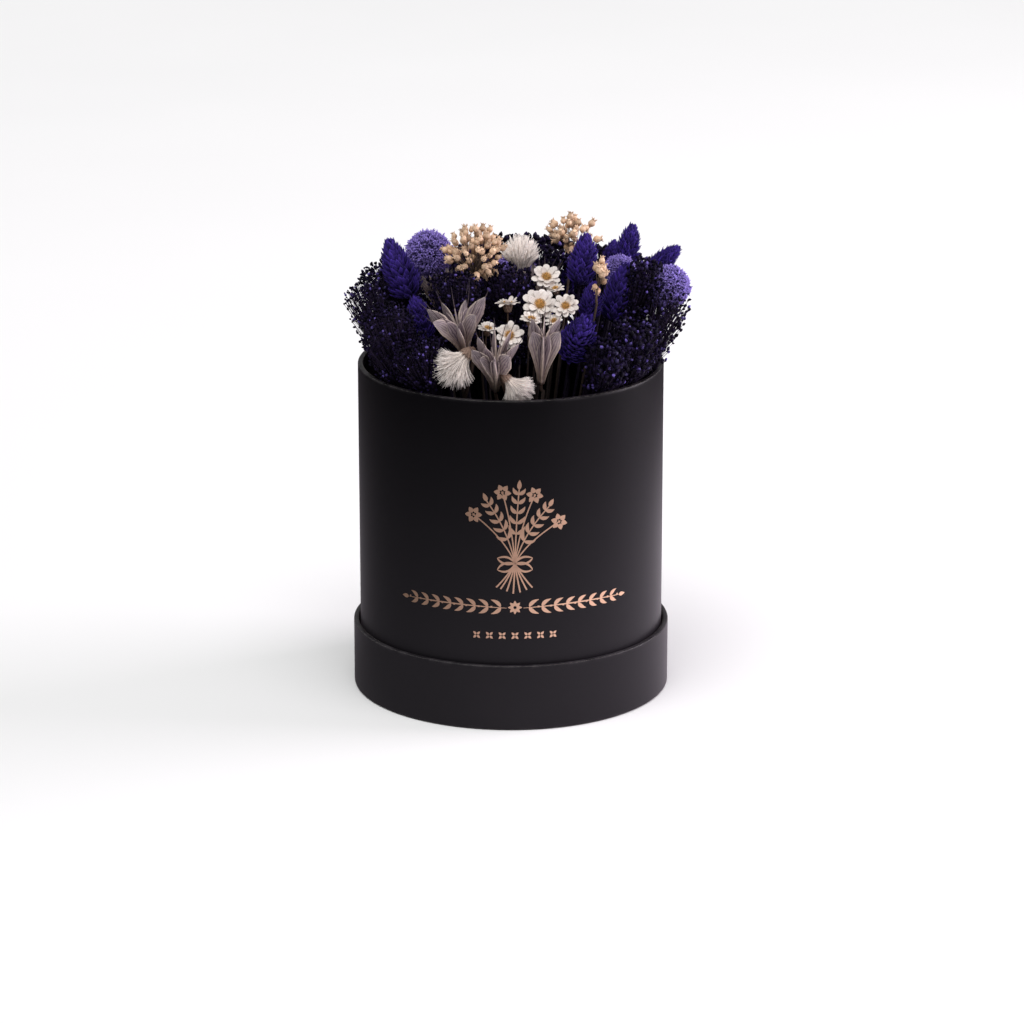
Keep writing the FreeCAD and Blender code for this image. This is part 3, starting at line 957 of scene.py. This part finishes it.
def head_of_broom(plant):
    """A spray of tiny dark buds on fine twigs that fan out upwards like a broom, a few of them painted a
    lighter violet as painted highlights of buds that catch the light, a few more on the right.

    A bud's height is a random share of the way from the box's rim to the head's top, most in the
    upper half, and its distance from the axis goes by a half outline that widens to the top. A twig
    is a quadratic curve that leaves the stem low down and bows towards the axis.
    """
    rnd, length, girth = plant.random, plant.length, plant.girth
    wider, bud_size = SPREAD[int(plant.node.rsplit("_", 1)[1])]
    lowest = max((node_box("box_wrap")[1][2] - plant.base[2]) / length, -0.65)
    filled = 1150 * (length / 44) * (1 - lowest) / 1.35 * (wider / 1.6) ** 1.3 / bud_size**0.8
    count = int(min(filled, MOST_BUDS))
    up = rnd.uniform(0.0, 1.0, count) ** 0.8 * (1 - lowest) + lowest
    wide = np.interp(up, (lowest, 0, 0.3, 0.6, 0.85, 1), (0.72, 0.78, 0.88, 0.98, 1.0, 0.72))
    angle = rnd.uniform(0, 2 * math.pi, count)
    away = wide * (girth * wider) * np.sqrt(rnd.uniform(0.03, 1, count))
    out = outward(angle)
    ends = spots(out, away, up * length)
    root = spots(out, away * 0.10, up * length * 0.40 - length * 0.75)
    middle = spots(out, away * 0.42, up * length * 0.55 - length * 0.12)
    twigs = round_twigs(rnd, bow(root, middle, ends, 5), 0.16 * (1 - 0.4 * steps(5)))
    way = unit(unit(ends - middle) + rnd.normal(0, 0.6, ends.shape))
    size = rnd.uniform(1.0, 1.9, count) * bud_size
    t = steps(4)
    path = ends[:, None, :] + (t[None, :, None] - 0.3) * way[:, None, :] * size[:, None, None]
    plump = np.array((0.14, 0.38, 0.32, 0.08))
    toward, tint = rnd.normal(0, 1, (count, 3)), rnd.random(count)
    # Painted highlights: a share of the buds, larger on the right, take the lighter violet of lit buds.
    painted_glint_buds = rnd.random(count) < 0.10 + 0.04 * (plant.base[0] > 0)
    parts = [(twigs, BROOM_TWIG)]
    for some, finish in ((~painted_glint_buds, BROOM_BUD), (painted_glint_buds, BROOM_PAINTED_GLINT)):
        width = plump * size[some, None]
        parts.append((sweep(path[some], toward[some], width, width, ring(5), tint=tint[some]), finish))
    return parts


HEADS = {
    "canary_grass": (head_of_grass, DARK_STEM),
    "billy_button": (head_of_button, DARK_STEM),
    "thistle": (head_of_thistle, BROWN_STEM),
    "daisy": (head_of_daisy, BROWN_STEM),
    "nigella": (head_of_nigella, BROWN_STEM),
    "bud_spray": (head_of_buds, BUD_TWIG),
    "broom_bloom": (head_of_broom, BROOM_TWIG),
}

# How heads sit that don't stand straight on their CAD stems: the nod and its swing in degrees, and
# the shift of the base to the front, to the right and up, in millimetres.
POSTURE = {
    "canary_grass_1": (8, -90),
    "canary_grass_7": (32, 80),
    "canary_grass_9": (26, 20, (3, -2, 4)),
    "billy_button_2": (0, 0, (16, -4.5, 3)),
    "broom_bloom_1": (0, 0, (0, 4, 0)),
    "broom_bloom_3": (0, 0, (0, 5, 0)),
    "broom_bloom_5": (0, 0, (0, -4, 0)),
    "broom_bloom_8": (0, 0, (0, 3, 0)),
    "broom_bloom_9": (0, 0, (0, 3, 0)),
    "broom_bloom_10": (0, 0, (0, -3, 0)),
    "broom_bloom_11": (0, 0, (0, -5, 0)),
    "broom_bloom_12": (0, 0, (0, 3, 0)),
    "bud_spray_3": (0, 0, (0, -1, -4)),
    "daisy_1": (38, 0),
    "daisy_2": (48, 10),
    "daisy_3": (42, -20),
    "daisy_4": (52, 15),
    "daisy_5": (-10, 0),
    "daisy_6": (10, 60),
    "daisy_7": (20, -60),
    "daisy_8": (35, -50),
    "daisy_9": (15, 70),
    "nigella_1": (6, -60, (0, 3.5, -1)),
    "nigella_2": (18, 5, (2, -1, -4)),
    "nigella_3": (4, -20, (0, -1.5, -8)),
    "thistle_2": (128, -80, (0, 9.5, 20)),
    "thistle_3": (132, 70, (0, -8, 16)),
}


LINING_CLEARANCE = 1.2  # from the flowers to the lining, below the rim
FLARE = 2.0  # how far the flowers may spread for each millimetre above it


def seated(part, plant):
    """A head's part in its place, its points drawn in to what the box's inside and rim leave."""
    points, faces, marks = part
    points = points @ plant.head_turn.T + plant.head_base
    low, high = node_box("box_lining")
    above = np.clip(points[:, 2] - node_box("box_wrap")[1][2] - 0.5, 0, None)
    limit = (high[0] - low[0]) / 2 - LINING_CLEARANCE + FLARE * above
    inward = np.minimum(1, limit / np.maximum(np.hypot(points[:, 0], points[:, 1]), 1e-6))
    return points * np.stack((inward, inward, np.ones_like(inward)), axis=1), faces, marks


def planted():
    """Every flower in place of its CAD node."""
    for node in sorted(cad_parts):
        kind = node.rsplit("_", 1)[0]
        if kind not in HEADS:
            continue
        head, stem_material = HEADS[kind]
        plant = Plant(node, kind)
        plant.pose(*POSTURE.get(node, ()))
        parts = [(seated(part, plant), finish) for part, finish in head(plant)]
        parts.append(plant.stalk(stem_material))
        piece(f"{node}_dried", parts, "arrangement", node)


# ---------------------------------------------------------------- stage, light, camera


def stage():
    """A wide pale floor.

    In reflections its brightness falls off with the distance from the box and from right to left,
    as where a studio ends: (1.15 - 2 times the distance in metres) times (1 + 0.8 x / radius).
    """
    made, tree, shader = material("pale_floor", {"Roughness": 0.9, "Specular IOR Level": 0.1})
    colour = mix(tree, noise(tree, 3.0, 2.0), (0.88, 0.88, 0.88, 1), (0.92, 0.92, 0.92, 1))
    radius = add(tree, "ShaderNodeVectorMath", {0: place(tree)}, operation="LENGTH").outputs["Value"]
    x = add(tree, "ShaderNodeSeparateXYZ", {0: place(tree)}).outputs["X"]
    away = maths(tree, "SUBTRACT", 1.15, maths(tree, "MULTIPLY", radius, 2.0), clamp=True)
    side = maths(tree, "ADD", maths(tree, "MULTIPLY", maths(tree, "DIVIDE", x, radius), 0.8), 1.0)
    level = maths(tree, "MULTIPLY", away, side, clamp=True)
    mirrored = mix(tree, level, (0.01, 0.01, 0.01, 1), (0.90, 0.84, 0.90, 1))
    path = tree.nodes.new("ShaderNodeLightPath")
    tree.links.new(mix(tree, path.outputs["Is Glossy Ray"], colour, mirrored), shader.inputs["Base Color"])
    mesh = bpy.data.meshes.new("floor")
    half = 14.0
    corners = [(-half, -half, 0), (half, -half, 0), (half, half, 0), (-half, half, 0)]
    mesh.from_pydata(corners, [], [(0, 1, 2, 3)])
    mesh.materials.append(made)
    floor = in_scene("floor", mesh)


def aimed(way):
    """The rotation that turns a lamp into a direction."""
    return way.to_track_quat("-Z", "Y").to_euler()


def softbox(name, position, target, width, height, power, colour):
    """A rectangular lamp that looks from its position to a target."""
    light = bpy.data.lights.new(name, "AREA")
    light.shape = "RECTANGLE"
    light.size, light.size_y = width, height
    light.energy = power
    light.color = colour
    thing = in_scene(name, light)
    thing.location = position
    thing.rotation_euler = aimed(Vector(target) - Vector(position))


SURROUND_LIGHT = 0.35


def studio():
    """Soft light from above, from the right and from the right front, in a surround that looks white."""
    middle = (0, 0, 0.12)
    overhead = bpy.data.lights.new("overhead", "SUN")
    overhead.energy = 2.1
    overhead.angle = math.radians(55)
    in_scene("overhead", overhead).rotation_euler = aimed(Vector((0.10, 0.42, -1)))
    tint = (1.0, 0.90, 1.0)
    softbox("right_light", (1.5, 0.25, 0.5), middle, 1.0, 1.0, 24, tint)
    softbox("front_light", (1.3, -1.0, 0.3), middle, 0.8, 0.4, 5, tint)
    world = bpy.data.worlds.new("surround")
    world.use_nodes = True
    tree = world.node_tree
    ground = tree.nodes["Background"]
    ground.inputs["Color"].default_value = WHITE
    ground.inputs["Strength"].default_value = SURROUND_LIGHT
    bright = add(tree, "ShaderNodeBackground", {"Color": WHITE, "Strength": 1.0})
    path = tree.nodes.new("ShaderNodeLightPath")
    both = tree.nodes.new("ShaderNodeMixShader")
    tree.links.new(path.outputs["Is Camera Ray"], both.inputs[0])
    tree.links.new(ground.outputs[0], both.inputs[1])
    tree.links.new(bright.outputs[0], both.inputs[2])
    tree.links.new(both.outputs[0], tree.nodes["World Output"].inputs["Surface"])
    bpy.context.scene.world = world
    bpy.context.scene.view_settings.view_transform = "Standard"


def camera():
    """A long lens, a little above the flowers, looking down at the front."""
    lens = bpy.data.cameras.new("camera")
    lens.lens = 149.05
    lens.sensor_width = 36.0
    lens.clip_start, lens.clip_end = 0.05, 60.0
    thing = in_scene("camera", lens)
    thing.location = (0.00056, -2.0074, 0.7098)
    down = math.radians(17.247)
    thing.rotation_euler = (math.pi / 2 - down, 0, 0)
    bpy.context.scene.camera = thing


def finish_cad_nodes():
    """Board, paper and foam finishes on the CAD nodes that stay as they are."""
    finishes = {"lid_wall": GREYBOARD, "lid_disc": GREYBOARD, "box_wall": GREYBOARD, "box_disc": GREYBOARD}
    finishes |= {n: BLACK_PAPER for n in ("lid_face_paper", "lid_lining", "box_face_paper", "box_lining")}
    finishes["dry_foam"] = FOAM
    for name, finish in finishes.items():
        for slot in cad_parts[name].material_slots:
            slot.material = finish


camera()
stage()
studio()
finish_cad_nodes()
wrapping("lid_wrap", "lid", LID_PAPER_PAINTED_LIGHTER)
wrapping("box_wrap", "box", BLACK_PAPER)
emblem()
planted()
